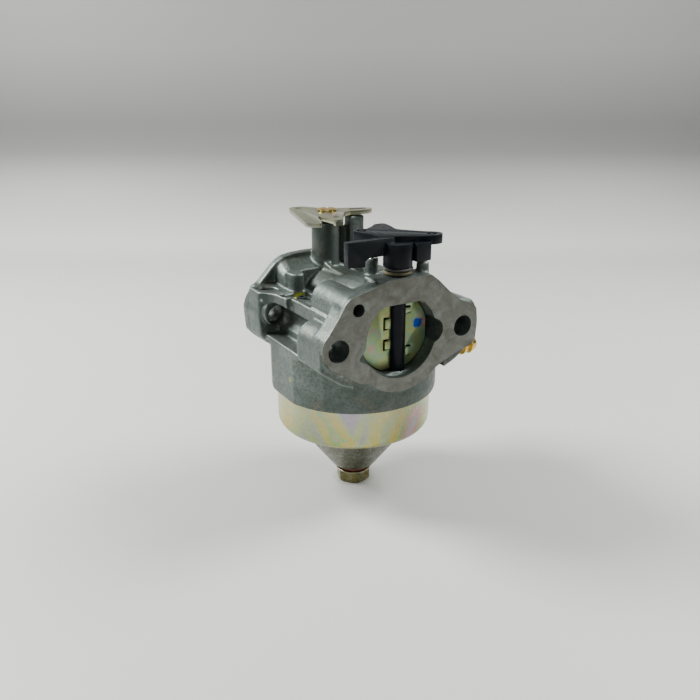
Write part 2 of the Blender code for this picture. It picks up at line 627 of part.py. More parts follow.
def make_throttle_lever(mat, parent):
    top = BORE_Z + LEVER_Z
    low = top - LEVER_T
    plate = prism(lever_outline(), "z", low, top)
    stop = box((8.2, 10.8), (16.9, 18.1), (top - 4.6, top - 0.4))
    lip = prism([(-3.5, 0.1), (-5.9, 0.5), (-5.8, 1.8), (-2.8, 1.4)], "z", top - 1.7, top - 0.4)
    add(plate, stop, lip)
    slot = arc(0.8, (12.2, 13.9), -90 - 18, 90 - 18, 8)
    slot += arc(0.8, (8.2, 15.2), 90 - 18, 270 - 18, 8)
    cuts = [prism(slot, "z", low - 1.0, top + 1.0)]
    cuts.append(rod(THROTTLE_SHAFT_R + GAP, "z", (0.0, THROTTLE_Y), low - 1.0, top + 1.0, 32))
    cuts.append(rod(1.1, "z", (-5.2, 25.2), low - 1.0, top + 1.0, 20))
    cuts.append(rod(1.0, "z", (-3.0, 5.0), low - 1.0, top + 1.0, 20))
    cut(plate, *cuts)
    return finish(plate, "throttle_lever", mat, (0.0, THROTTLE_Y, BORE_Z), parent)


# ---------------------------------------------------------------- choke

def choke_top_outline():
    """Top plate of the choke lever: rear-left finger, rear lobe, right arm."""
    finger = [(-2.9, -18.6), (-3.3, -15.1), (-4.5, -11.9), (-5.3, -8.2), (-4.6, -6.9)]
    finger += [(-3.2, -6.3), (-1.6, -6.6), (0.2, -7.0)]
    lobe = [(3.5, -4.6), (5.7, -2.3), (7.6, -2.0), (9.2, -2.5), (8.9, -5.0), (8.3, -7.5)]
    arm = [(7.2, -11.0), (7.6, -12.9), (11.3, -17.6), (14.8, -20.9), (15.3, -22.6)]
    front = [(13.9, -24.8), (11.6, -25.6), (7.0, -25.9), (1.4, -26.0), (-1.6, -24.8)]
    return (finger + lobe + arm + front + [(-2.8, -22.4)])[::-1]


def make_choke_lever(mat, parent):
    top = BORE_Z + CHOKE_TOP
    low = top - 2.5
    spot = (CHOKE_X, CHOKE_Y)
    shaft = rod(CHOKE_SHAFT_R, "z", spot, BORE_Z - 12.9, BORE_Z + 21.0, 28)
    hub = rod(4.1, "z", spot, BORE_Z + 19.6, low + 1.0, 32)
    plate = prism(choke_top_outline(), "z", low, top)
    web = [(-14.8, 20.6), (-9.5, 20.3), (-9.5, 21.6), (-8.9, 22.2), (-7.8, 22.6)]
    web += [(0.0, 22.6), (0.0, CHOKE_TOP - 0.1), (-14.8, CHOKE_TOP - 0.1)]
    arm = prism(raised(web), "y", -21.4, -19.2)
    leg = box((4.6, 9.4), (-25.6, -23.4), (BORE_Z + 20.8, low + 1.0))
    add(shaft, hub, plate, arm, leg)
    half = 0.7
    slot = box((-9.0, 12.0), (CHOKE_Y - half, CHOKE_Y + half), (BORE_Z - 14.0, BORE_Z + 11.6))
    holes = [rod(0.95, "z", (x, y), low - 1.0, top + 1.0, 20)
             for x, y in ((-2.7, -8.6), (11.9, -22.4))]
    cut(shaft, slot, *holes)
    return finish(shaft, "choke_lever", mat, (CHOKE_X, CHOKE_Y, BORE_Z), parent)


def choke_plate_outline():
    """Disc with a flat right edge and flat top and bottom edges."""
    low = CHOKE_FLOOR + GAP
    high = CHOKE_TOP_FLAT - GAP
    points = flat_round(CHOKE_BORE_R - 0.35, (0.0, 0.0), low, high, 48)
    return [(min(x, 10.9), h) for x, h in points]


def make_choke_plate(mat, parent):
    outline = raised(choke_plate_outline())
    plate = prism(outline, "y", CHOKE_Y - 0.4, CHOKE_Y + 0.4)
    tabs = []
    for x, h in ((-2.9, 4.6), (-2.9, -2.4), (5.2, 7.6), (5.2, -5.4)):
        tabs.append(box((x - 0.8, x + 0.8), (CHOKE_Y - 0.9, CHOKE_Y), (BORE_Z + h - 1.1, BORE_Z + h + 1.1)))
    add(plate, *tabs)
    return finish(plate, "choke_plate", mat, (CHOKE_X, CHOKE_Y, BORE_Z), parent)


# ---------------------------------------------------------------- fittings

def make_nipple(mat):
    """Barbed hose spigot with a through bore."""
    profile = [(1.7, 22.2), (1.7, 27.6), (3.6, 27.9), (3.6, 28.7), (2.3, 28.9)]
    for start in (29.9, 33.2, 36.0):
        profile += [(2.3, start), (3.1, start + 0.1), (2.35, start + 2.4)]
    profile += [(1.9, 38.6), (1.1, 38.6), (1.1, 22.2)]
    nipple = lathe(profile, "x", (INLET_Y, INLET_Z), 24)
    return finish(nipple, "fuel_inlet_nipple", mat)


def coil(radius, wire, pitch, turns, centre, start, name):
    """Compression spring wound along +X."""
    bm = bmesh.new()
    steps = int(12 * turns)
    rings = []
    for i in range(steps + 1):
        t = 2 * pi * i / 12
        hub = Vector((start + pitch * i / 12, centre[0], centre[1]))
        out = Vector((0.0, cos(t), sin(t)))
        ring = []
        for k in range(6):
            a = 2 * pi * k / 6
            spot = hub + out * (radius + wire * cos(a)) + Vector((wire * sin(a), 0.0, 0.0))
            ring.append(bm.verts.new(spot))
        rings.append(ring)
    for one, two in zip(rings, rings[1:]):
        join_rings(bm, one, two, 6)
    bm.faces.new(rings[0])
    bm.faces.new(rings[-1][::-1])
    return from_bmesh(name, bm)


def make_mixture_screw(brass, steel):
    spot = (MIXTURE_Y, BORE_Z + MIXTURE_H)
    profile = [(0.0, 10.4), (0.3, 10.4), (1.6, 13.0), (1.6, 20.6), (2.9, 20.6), (2.9, 23.0)]
    profile += [(2.5, 23.4), (0.0, 23.4)]
    screw = lathe(profile, "x", spot, 28)
    high = BORE_Z + MIXTURE_H
    slot = box((22.4, 24.0), (MIXTURE_Y - 0.4, MIXTURE_Y + 0.4), (high - 4.0, high + 4.0))
    cut(screw, slot)
    finish(screw, "mixture_screw", brass, (20.0, MIXTURE_Y, high))
    spring = coil(2.3, 0.3, 0.85, 2.6, spot, 17.85, "spring")
    finish(spring, "mixture_screw_spring", steel)


def make_plugs(mat):
    top = BORE_Z + 13.2
    plug = [(0.0, BORE_Z + 12.1), (1.3, BORE_Z + 12.1), (1.3, top), (0.9, top + 0.25)]
    finish(lathe(plug + [(0.0, top + 0.35)], "z", (8.8, 17.9), 28), "port_plug", mat)
    high = BORE_Z + 19.4
    ball = [(0.0, high - 2.4), (0.95, high - 2.4), (0.95, high), (0.6, high + 0.35)]
    finish(lathe(ball + [(0.0, high + 0.5)], "z", (-0.6, -11.0), 20), "channel_plug", mat)


def main():
    clear_scene()
    alloy = material("die_cast_alloy", (0.42, 0.44, 0.42), 0.48, 0.7)
    bowl_zinc = material("yellow_zinc_bowl", (0.62, 0.60, 0.42), 0.32, 0.85)
    bolt_zinc = material("olive_zinc_bolt", (0.40, 0.37, 0.20), 0.35, 0.85)
    lever_zinc = material("pale_zinc_lever", (0.60, 0.59, 0.50), 0.35, 0.85)
    plate_zinc = material("choke_plate_zinc", (0.68, 0.68, 0.52), 0.35, 0.75)
    brass = material("brass", (0.70, 0.50, 0.18), 0.30, 0.95)
    steel = material("steel", (0.56, 0.57, 0.58), 0.30, 0.95)
    black = material("black_plastic", (0.03, 0.033, 0.035), 0.42, 0.0)
    rubber = material("black_rubber", (0.02, 0.02, 0.02), 0.7, 0.0)
    fibre = material("red_fibre", (0.22, 0.03, 0.02), 0.7, 0.0)
    felt = material("beige_felt", (0.42, 0.38, 0.26), 0.95, 0.0)
    foam = material("dark_foam", (0.05, 0.05, 0.045), 0.9, 0.0)
    nylon = material("white_nylon", (0.72, 0.72, 0.68), 0.5, 0.0)
    resin = material("float_resin", (0.75, 0.73, 0.64), 0.5, 0.0)
    throttle = axis_empty("throttle_axis", (0.0, THROTTLE_Y, BORE_Z))
    choke = axis_empty("choke_axis", (CHOKE_X, CHOKE_Y, BORE_Z))
    make_body(alloy)
    make_bowl(bowl_zinc)
    make_bolt(bolt_zinc)
    make_seals(rubber, fibre, felt, foam, nylon)
    make_float(resin)
    make_valve(steel, brass, steel)
    make_jets(brass, black)
    make_throttle_shaft(brass, throttle)
    make_throttle_plate(brass, steel, throttle)
    make_throttle_lever(lever_zinc, throttle)
    make_choke_lever(black, choke)
    make_choke_plate(plate_zinc, choke)
    make_nipple(brass)
    make_mixture_screw(brass, steel)
    make_plugs(steel)


main()
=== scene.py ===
from math import cos, pi, radians, sin

import bmesh
import bpy
import numpy as np
from mathutils import Matrix, Vector


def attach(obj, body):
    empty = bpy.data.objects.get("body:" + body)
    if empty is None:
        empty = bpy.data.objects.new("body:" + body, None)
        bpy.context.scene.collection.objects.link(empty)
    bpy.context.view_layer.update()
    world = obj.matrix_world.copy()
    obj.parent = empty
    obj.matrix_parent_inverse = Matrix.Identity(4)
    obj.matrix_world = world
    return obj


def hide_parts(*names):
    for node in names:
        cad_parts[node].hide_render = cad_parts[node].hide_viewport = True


# Lengths are millimetres in the part's frame until a mesh is made.
MM = 0.001
AXIS = (0.0, 0.0)               # upright axis of skirt, bowl and bolt
BORE = 57.6                     # height of the bore's axis
FRONT_Y = -27.0                 # choke flange face
REAR_Y = 22.5                   # engine flange face
SKIRT_Z = 35.4                  # lower end of the skirt, above the bowl
THROTTLE = (0.0, 16.0)          # upright axis of the throttle shaft
CHOKE = (0.9, -21.8)            # upright axis of the choke shaft
INLET = (-12.0, 44.4)           # axis of the fuel spigot, as y and z
BOWL_R = 24.3
THROTTLE_TOP = BORE + 29.2      # upper face of the throttle lever
CHOKE_TOP = BORE + 27.4         # upper face of the choke lever
FELT_LOW = BORE + 17.4
SEAL_LOW = BORE + 26.5

SPARE = 1.0                     # how far machined faces move out before they are cut back
TOUCH = 0.02                    # reach within which a point counts as on a face
FAR = 60.0                      # past the part on every side
VOXEL = 0.36
CASTING_TRIANGLES = 188000

LENS = 36.0
SENSOR = 36.0
CAMERA_SPOT = (-0.10804, -0.17643, 0.12360)     # metres
CAMERA_BACK = (-0.48424, -0.80021, 0.35380)     # from the aim towards the camera
VIEW = (0.5177, 0.8555)                         # level direction of the camera's view

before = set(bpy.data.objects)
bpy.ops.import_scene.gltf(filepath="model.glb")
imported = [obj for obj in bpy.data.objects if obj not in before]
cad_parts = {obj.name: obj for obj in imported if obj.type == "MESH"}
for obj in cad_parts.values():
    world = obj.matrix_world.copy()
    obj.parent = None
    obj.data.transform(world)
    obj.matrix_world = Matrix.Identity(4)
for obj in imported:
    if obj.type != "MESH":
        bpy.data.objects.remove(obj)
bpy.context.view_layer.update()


# ------------------------------------------------------------ mesh helpers

def add_object(name, data):
    obj = bpy.data.objects.new(name, data)
    bpy.context.scene.collection.objects.link(obj)
    return obj


def bm_object(name, bm):
    """Object made of a finished bmesh, which is freed."""
    mesh = bpy.data.meshes.new(name)
    bm.to_mesh(mesh)
    bm.free()
    return add_object(name, mesh)


def solid(bm):
    """Closed mesh in millimetres, turned to metres, with outward faces."""
    bmesh.ops.remove_doubles(bm, verts=bm.verts, dist=1e-5)
    bmesh.ops.recalc_face_normals(bm, faces=bm.faces)
    bmesh.ops.scale(bm, vec=(MM, MM, MM), verts=bm.verts)
    return bm_object("solid", bm)


def place(u, v, w, axis):
    """Point with section coordinates u, v at distance w along an axis."""
    if axis == "x":
        return (w, u, v)
    if axis == "y":
        return (u, w, v)
    return (u, v, w)


def prism(points, axis, low, high):
    """Straight solid with an outline, between two places along an axis."""
    bm = bmesh.new()
    near = [bm.verts.new(place(u, v, low, axis)) for u, v in points]
    far = [bm.verts.new(place(u, v, high, axis)) for u, v in points]
    bm.faces.new(near)
    bm.faces.new(far[::-1])
    count = len(points)
    for i in range(count):
        j = (i + 1) % count
        bm.faces.new((near[i], near[j], far[j], far[i]))
    return solid(bm)


def circle(radius, centre=(0.0, 0.0), seg=48):
    turn = [2 * pi * i / seg for i in range(seg)]
    return [(centre[0] + radius * cos(t), centre[1] + radius * sin(t)) for t in turn]


def rod(radius, axis, centre, low, high, seg=48):
    return prism(circle(radius, centre, seg), axis, low, high)


def box(x, y, z):
    corners = [(x[0], y[0]), (x[1], y[0]), (x[1], y[1]), (x[0], y[1])]
    return prism(corners, "z", z[0], z[1])


def lathe(profile, axis, centre, seg=96):
    """Solid of revolution from a closed loop of (radius, distance)."""
    bm = bmesh.new()
    rings = []
    for radius, along in profile:
        if radius < 1e-6:
            rings.append([bm.verts.new(place(centre[0], centre[1], along, axis))] * seg)
            continue
        ring = circle(radius, centre, seg)
        rings.append([bm.verts.new(place(u, v, along, axis)) for u, v in ring])
    for one, two in zip(rings, rings[1:] + rings[:1]):
        for i in range(seg):
            j = (i + 1) % seg
            corner = list(dict.fromkeys((one[i], one[j], two[j], two[i])))
            if len(corner) > 2:
                bm.faces.new(corner)
    return solid(bm)


def rounded(points, radius, steps=4):
    """Outline with each corner replaced by a small curve."""
    out = []
    count = len(points)
    for i in range(count):
        here = Vector(points[i])
        back = Vector(points[i - 1]) - here
        ahead = Vector(points[(i + 1) % count]) - here
        reach = min(radius, back.length * 0.45, ahead.length * 0.45)
        first = here + back.normalized() * reach
        last = here + ahead.normalized() * reach
        for k in range(steps + 1):
            t = k / steps
            spot = first * (1 - t) ** 2 + here * (2 * t * (1 - t)) + last * t ** 2
            out.append((spot.x, spot.y))
    return out


def raised(points):
    """Outline of x and height above the bore, as x and z."""
    return [(u, v + BORE) for u, v in points]


def baked(obj):
    """Apply the object's modifiers."""
    graph = bpy.context.evaluated_depsgraph_get()
    graph.update()
    mesh = bpy.data.meshes.new_from_object(obj.evaluated_get(graph))
    obj.modifiers.clear()
    obj.data = mesh
    return obj


def combine(obj, others, operation, solver="EXACT"):
    """Boolean with each of the solids, which are then dropped."""
    for other in others:
        mod = obj.modifiers.new("Boolean", "BOOLEAN")
        mod.operation = operation
        mod.object = other
        mod.solver = solver
    baked(obj)
    for other in others:
        bpy.data.objects.remove(other, do_unlink=True)
    return obj


def bevel(obj, width):
    mod = obj.modifiers.new("Bevel", "BEVEL")
    mod.width = width * MM
    mod.segments = 2
    mod.limit_method = "ANGLE"
    mod.angle_limit = radians(30.0)
    return baked(obj)


def join(parts, name):
    """One mesh object out of several, without boolean work."""
    bm = bmesh.new()
    for part in parts:
        bm.from_mesh(part.data)
    for part in parts:
        bpy.data.objects.remove(part, do_unlink=True)
    return bm_object(name, bm)


def voxel(obj, size):
    """Rebuild the surface on a grid of the given size."""
    mod = obj.modifiers.new("Remesh", "REMESH")
    mod.mode = "VOXEL"
    mod.voxel_size = size * MM
    return baked(obj)


def relax(obj, rounds):
    """Round the edges off a little more with each round."""
    mod = obj.modifiers.new("Smooth", "SMOOTH")
    mod.iterations = rounds
    mod.factor = 0.5
    return baked(obj)


def thin_out(obj, faces):
    """Decimate to about the given number of triangles."""
    count = sum(len(p.vertices) - 2 for p in obj.data.polygons)
    if count > faces:
        mod = obj.modifiers.new("Decimate", "DECIMATE")
        mod.ratio = faces / count
        baked(obj)
    return obj


def smooth(obj, angle):
    """Smooth shading that stays sharp at edges over the angle."""
    obj.data.shade_smooth()
    obj.data.set_sharp_from_angle(angle=radians(angle))
    return obj


def fit_out(obj, name, body, slot, mats, *nodes):
    """Name a finished piece, colour it and tie it to its CAD body."""
    obj.name = name
    obj.data.name = name
    obj.data.materials.clear()
    for mat in mats:
        obj.data.materials.append(mat)
    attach(obj, body)
    if nodes:
        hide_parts(*nodes)
    return obj


# ------------------------------------------------------------ materials

class Look:
    """A node material being put together."""

    def __init__(self, name):
        self.mat = bpy.data.materials.new(name)
        self.mat.use_nodes = True
        self.tree = self.mat.node_tree
        self.shader = self.tree.nodes["Principled BSDF"]
        self.spot = self.add("ShaderNodeTexCoord").outputs["Object"]

    def add(self, kind, inputs=None, **settings):
        node = self.tree.nodes.new(kind)
        for key, value in settings.items():
            setattr(node, key, value)
        for key, value in (inputs or {}).items():
            self.feed(node.inputs[key], value)
        return node

    def feed(self, socket, value):
        if isinstance(value, bpy.types.NodeSocket):
            self.tree.links.new(value, socket)
        else:
            socket.default_value = value

    def noise(self, per_mm, detail=3.0, rough=0.5, warp=0.0, stretch=(1, 1, 1)):
        spot = self.add("ShaderNodeMapping", {"Vector": self.spot, "Scale": stretch})
        inputs = {"Vector": spot.outputs[0], "Scale": per_mm * 1000, "Detail": detail,
                  "Roughness": rough, "Distortion": warp}
        return self.add("ShaderNodeTexNoise", inputs).outputs["Fac"]

    def cells(self, per_mm):
        inputs = {"Vector": self.spot, "Scale": per_mm * 1000}
        return self.add("ShaderNodeTexVoronoi", inputs).outputs["Distance"]

    def ramp(self, fac, *stops):
        node = self.add("ShaderNodeValToRGB", {"Fac": fac})
        band = node.color_ramp.elements
        while len(band) < len(stops):
            band.new(0.5)
        for slot, (where, colour) in zip(band, stops):
            slot.position = where
            if isinstance(colour, (int, float)):
                colour = (colour, colour, colour)
            slot.color = (*colour, 1.0)
        return node.outputs["Color"]

    def mix(self, fac, one, two, blend="MIX"):
        node = self.add("ShaderNodeMix", data_type="RGBA", blend_type=blend)
        self.feed(node.inputs[0], fac)
        for socket, value in ((node.inputs[6], one), (node.inputs[7], two)):
            if isinstance(value, tuple):
                value = (*value, 1.0)
            self.feed(socket, value)
        return node.outputs[2]

    def math(self, operation, one, two):
        node = self.add("ShaderNodeMath", operation=operation)
        self.feed(node.inputs[0], one)
        self.feed(node.inputs[1], two)
        return node.outputs[0]

    def bump(self, height, depth_mm, strength, under=None):
        inputs = {"Height": height, "Distance": depth_mm * MM, "Strength": strength}
        if under is not None:
            inputs["Normal"] = under
        return self.add("ShaderNodeBump", inputs).outputs["Normal"]

    def curvature(self):
        """Above 0.5 on outer edges and below it in inner corners."""
        return self.add("ShaderNodeNewGeometry").outputs["Pointiness"]

    def edges(self, low, high):
        """Mask that is bright on outer edges."""
        return self.ramp(self.curvature(), (low, 0.0), (high, 1.0))

    def along(self, axis, low_mm, high_mm):
        """Mask that runs from 0 to 1 between two places on an axis."""
        place = self.add("ShaderNodeSeparateXYZ", {"Vector": self.spot}).outputs[axis]
        node = self.add("ShaderNodeMapRange", {"Value": place, "From Min": low_mm * MM,
                        "From Max": high_mm * MM})
        return node.outputs[0]

    def dot(self, centre_mm, radius_mm, soft_mm):
        """Round spot mask about a point, with an uneven border."""
        offset = self.add("ShaderNodeVectorMath", operation="DISTANCE")
        self.feed(offset.inputs[0], self.spot)
        self.feed(offset.inputs[1], tuple(v * MM for v in centre_mm))
        wobble = self.math("MULTIPLY", self.noise(0.9), radius_mm * 0.9 * MM)
        reach = self.math("ADD", offset.outputs["Value"], wobble)
        inner = (radius_mm * 1.3 - soft_mm) * MM
        node = self.add("ShaderNodeMapRange", {"Value": reach, "From Min": inner,
                        "From Max": radius_mm * 1.5 * MM, "To Min": 1.0, "To Max": 0.0})
        return node.outputs[0]

    def done(self, colour, rough, metal, normal, **others):
        self.feed(self.shader.inputs["Base Color"], colour)
        self.feed(self.shader.inputs["Roughness"], rough)
        self.feed(self.shader.inputs["Metallic"], metal)
        self.feed(self.shader.inputs["Normal"], normal)
        for key, value in others.items():
            self.shader.inputs[key.replace("_", " ")].default_value = value
        return self.mat


def cast_tone(look):
    """Grey-green ground with warm patches and dark grain."""
    broad = look.noise(0.06, 4.0, 0.6, 0.6)
    tone = look.ramp(broad, (0.34, (0.062, 0.084, 0.073)), (0.66, (0.145, 0.178, 0.160)))
    warm = look.ramp(look.noise(0.11, 3.0, 0.55, 1.2), (0.52, 0.0), (0.70, 0.55))
    tone = look.mix(warm, tone, (0.155, 0.145, 0.11))
    grain = look.ramp(look.noise(1.1, 5.0, 0.75), (0.40, 0.75), (0.56, 0.0))
    return look.mix(grain, tone, (0.065, 0.075, 0.068))


def cast_wear_and_shade(look, tone):
    """Rubbed upper edges, painted shade in the valley on top of the barrel and in inner corners,
    and small flecks.
    """
    rub = look.math("MULTIPLY", look.edges(0.515, 0.60), look.along(2, 40.0, 43.0))
    tone = look.mix(look.math("MULTIPLY", rub, 0.7), tone, (0.40, 0.44, 0.42))
    # Painted shade: dark dots over the deep valley on top of the barrel.
    for x, y, reach in ((-1.0, 3.0, 8.0), (-6.0, 8.0, 6.0), (2.0, -6.0, 6.0)):
        valley_shade = look.math("MULTIPLY", look.dot((x, y, 70.5), reach, 3.0), 0.75)
        tone = look.mix(valley_shade, tone, (0.028, 0.036, 0.026))
    # Painted shade: inner corners darkened by their curvature, standing in for occlusion.
    corner_shade = look.ramp(look.curvature(), (0.40, 0.8), (0.485, 0.0))
    tone = look.mix(corner_shade, tone, (0.045, 0.052, 0.038))
    fleck = look.ramp(look.cells(0.9), (0.05, 1.0), (0.12, 0.0))
    fleck = look.math("MULTIPLY", fleck, look.ramp(look.noise(0.3), (0.5, 0.0), (0.62, 0.8)))
    return look.mix(fleck, tone, (0.10, 0.105, 0.095))


def cast_spots(look, tone):
    """Painted shade on the bore floor and in the stud tunnel, and two dabs of yellow-green paint.
    """
    # Painted shade: dark dots on the floor of the choke bore.
    for x in (-4.0, 1.0, 6.0):
        floor = look.dot((x, -21.0, BORE - 12.0), 4.5, 2.0)
        tone = look.mix(floor, tone, (0.045, 0.055, 0.05))
    # Painted shade: near-black dots along the inside of the left stud tunnel.
    for y in (9.0, 12.0, 15.0, 18.0, 21.0):
        tone = look.mix(look.dot((-21.0, y, BORE), 3.9, 1.0), tone, (0.018, 0.024, 0.022))
    mark = look.dot((-24.6, -5.2, 42.6), 1.2, 0.5)
    tone = look.mix(look.math("MULTIPLY", mark, 0.45), tone, (0.42, 0.44, 0.06))
    paint = look.dot((-14.5, 7.6, 62.9), 1.9, 0.6)
    return look.mix(look.math("MULTIPLY", paint, 0.9), tone, (0.56, 0.62, 0.02))


def cast_alloy():
    """Grained die-cast alloy with greenish dulling and rubbed edges, and painted shade in its
    valley, inner corners, bore floor and stud tunnel.
    """
    look = Look("cast_alloy")
    tone = cast_spots(look, cast_wear_and_shade(look, cast_tone(look)))
    rough = look.ramp(look.noise(0.5, 4.0), (0.3, 0.40), (0.7, 0.56))
    normal = look.bump(look.noise(0.8, 3.0, 0.55), 0.14, 0.7)
    normal = look.bump(look.noise(3.2, 4.0, 0.65), 0.05, 0.9, normal)
    return look.done(tone, rough, 0.7, normal)


def milled_alloy():
    """Flat milled faces: warm grey, blotched, with faint rings of the cutter."""
    look = Look("milled_alloy")
    blotch = look.noise(0.14, 5.0, 0.62, 1.5)
    tone = look.ramp(blotch, (0.30, (0.105, 0.104, 0.085)), (0.5, (0.155, 0.160, 0.138)),
                     (0.72, (0.215, 0.230, 0.208)))
    cloud = look.ramp(look.noise(0.6, 5.0, 0.7, 0.8), (0.40, 0.0), (0.66, 0.38))
    tone = look.mix(cloud, tone, (0.085, 0.085, 0.07))
    wave = look.add("ShaderNodeTexWave", {"Vector": look.spot, "Scale": 900.0,
                    "Distortion": 1.5, "Detail": 2.0}, wave_type="RINGS")
    rub = look.ramp(look.noise(0.22, 4.0, 0.6, 2.0, (0.35, 1.0, 1.0)), (0.56, 0.0), (0.78, 0.35))
    tone = look.mix(rub, tone, (0.31, 0.34, 0.315))
    rough = look.ramp(look.noise(0.4, 4.0), (0.3, 0.34), (0.7, 0.50))
    normal = look.bump(wave.outputs["Fac"], 0.004, 0.3)
    normal = look.bump(look.noise(2.5, 3.0), 0.012, 0.5, normal)
    return look.done(tone, rough, 0.75, normal)


def yellow_zinc(name, base, strength, rough_low, rough_high, cone=0.0):
    """Yellow zinc plate: patches of yellow, green, pink and lavender.

    Below the height cone, where one is given, the plate is painted dark olive: a real olive zinc
    tint together with painted shade for the shadowed floor it reflects.
    """
    look = Look(name)
    field = look.noise(0.045, 3.0, 0.5, 1.4, (1.0, 1.0, 0.8))
    film = look.ramp(field, (0.32, (0.27, 0.20, 0.36)), (0.40, (0.30, 0.38, 0.17)),
                     (0.48, (0.47, 0.36, 0.055)), (0.54, (0.20, 0.36, 0.13)),
                     (0.60, (0.46, 0.18, 0.20)), (0.70, (0.26, 0.28, 0.34)))
    tone = look.mix(strength, base, film)
    if cone:
        # Painted shade with an olive tint: below the cone height the zinc is darkened as for the
        # shadowed floor it reflects.
        low = look.math("SUBTRACT", 1.0, look.along(2, cone - 0.6, cone + 0.6))
        tone = look.mix(look.math("MULTIPLY", low, 0.95), tone, (0.032, 0.036, 0.012))
    smear = look.ramp(look.noise(0.5, 5.0, 0.7, 0.5), (0.42, 0.0), (0.70, 0.35))
    tone = look.mix(smear, tone, (0.42, 0.43, 0.34))
    speck = look.ramp(look.noise(2.2, 3.0), (0.30, 0.35), (0.40, 0.0))
    tone = look.mix(speck, tone, (0.34, 0.32, 0.20))
    rub = look.edges(0.53, 0.62)
    tone = look.mix(look.math("MULTIPLY", rub, 0.5), tone, (0.62, 0.62, 0.54))
    rough = look.ramp(look.noise(0.6, 4.0), (0.3, rough_low), (0.7, rough_high))
    normal = look.bump(look.noise(1.4, 4.0, 0.6), 0.012, 0.6)
    return look.done(tone, rough, 0.92, normal)


def black_mould():
    """Black moulded plastic with scuffed edges and some dust."""
    look = Look("black_mould")
    tone = look.ramp(look.noise(0.3, 4.0), (0.3, (0.001, 0.002, 0.004)),
                     (0.7, (0.003, 0.005, 0.008)))
    scuff = look.math("MULTIPLY", look.edges(0.52, 0.62), 0.4)
    tone = look.mix(scuff, tone, (0.05, 0.055, 0.055))
    dust = look.ramp(look.noise(1.8, 5.0, 0.7), (0.60, 0.0), (0.75, 0.15))
    tone = look.mix(dust, tone, (0.06, 0.06, 0.055))
    rough = look.ramp(look.noise(0.8, 4.0), (0.3, 0.30), (0.7, 0.44))
    normal = look.bump(look.noise(2.6, 4.0), 0.010, 0.5)
    return look.done(tone, rough, 0.0, normal, Specular_IOR_Level=0.12)


def worn_brass():
    """Brass with brown patches and bright edges."""
    look = Look("worn_brass")
    tone = look.ramp(look.noise(0.5, 4.0, 0.6), (0.3, (0.50, 0.32, 0.05)),
                     (0.7, (0.82, 0.60, 0.16)))
    dark = look.ramp(look.noise(1.1, 4.0, 0.6), (0.55, 0.0), (0.75, 0.5))
    tone = look.mix(dark, tone, (0.28, 0.16, 0.05))
    tone = look.mix(look.edges(0.53, 0.62), tone, (0.94, 0.78, 0.36))
    rough = look.ramp(look.noise(0.9, 3.0), (0.3, 0.22), (0.7, 0.38))
    normal = look.bump(look.noise(2.0, 3.0), 0.008, 0.5)
    return look.done(tone, rough, 1.0, normal)


def plain(name, dark, light, rough, metal, grain_mm=0.02, per_mm=1.5):
    """Two-tone mottled finish with a fine grain, for small pieces."""
    look = Look(name)
    tone = look.ramp(look.noise(per_mm * 0.4, 5.0, 0.65), (0.32, dark), (0.68, light))
    worn = look.math("MULTIPLY", look.edges(0.53, 0.62), 0.4)
    tone = look.mix(worn, tone, tuple(min(1.0, v * 1.5 + 0.04) for v in light))
    spread = look.ramp(look.noise(per_mm * 0.6, 3.0), (0.3, rough - 0.05), (0.7, rough + 0.08))
    normal = look.bump(look.noise(per_mm * 2.0, 4.0, 0.6), grain_mm, 0.7)
    return look.done(tone, spread, metal, normal)


def plate_zinc():
    """Choke plate: pale yellow plate with one blue paint dot."""
    look = Look("choke_plate_finish")
    field = look.noise(0.16, 3.0, 0.5, 1.0)
    tone = look.ramp(field, (0.32, (0.36, 0.34, 0.16)), (0.46, (0.36, 0.43, 0.17)),
                     (0.58, (0.26, 0.40, 0.24)), (0.72, (0.46, 0.26, 0.23)))
    rub = look.ramp(look.noise(0.9, 4.0), (0.5, 0.0), (0.75, 0.25))
    tone = look.mix(rub, tone, (0.36, 0.37, 0.24))
    ink = look.dot((8.1, -22.3, BORE + 1.9), 1.75, 0.2)
    tone = look.mix(ink, tone, (0.008, 0.06, 0.40))
    rough = look.ramp(look.noise(0.7, 3.0), (0.3, 0.30), (0.7, 0.42))
    normal = look.bump(look.noise(1.8, 3.0), 0.008, 0.5)
    return look.done(tone, rough, 0.75, normal)


# ------------------------------------------------------------ casting

def stretched_body():
    """The CAD casting with its machined faces moved out, ready to be cut back."""
    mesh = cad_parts["carburetor_body"].data.copy()
    spots = np.empty(len(mesh.vertices) * 3, np.float32)
    mesh.vertices.foreach_get("co", spots)
    spots = spots.reshape(-1, 3) / MM
    front = spots[:, 1] < FRONT_Y + TOUCH
    rear = spots[:, 1] > REAR_Y - TOUCH
    rim = spots[:, 2] < SKIRT_Z + 0.05
    rim &= np.hypot(spots[:, 0], spots[:, 1]) > 20.0
    spots[front, 1] -= SPARE
    spots[rear, 1] += SPARE
    spots[rim, 2] -= SPARE
    mesh.vertices.foreach_set("co", (spots * MM).astype(np.float32).ravel())
    return add_object("casting", mesh)


def bar_rim():
    """Rim along the left bar, which the CAD casting does not have."""
    return box((-20.6, -19.3), (-19.0, 3.2), (BORE + 6.0, BORE + 7.5))


def casting_trims():
    """Solids that cut the flange faces and the skirt's lower end flat again.

    The one behind also flattens the back of the skirt, which is round in the CAD and
    reaches past the engine flange: a known fault of these looks.
    """
    ahead = box((-FAR, FAR), (-FAR, FRONT_Y), (0.0, 2 * FAR))
    behind = box((-FAR, FAR), (REAR_Y, FAR), (0.0, 2 * FAR))
    below = [(22.0, 20.0), (40.0, 20.0), (40.0, SKIRT_Z), (22.0, SKIRT_Z)]
    return [ahead, behind, lathe(below, "z", AXIS)]


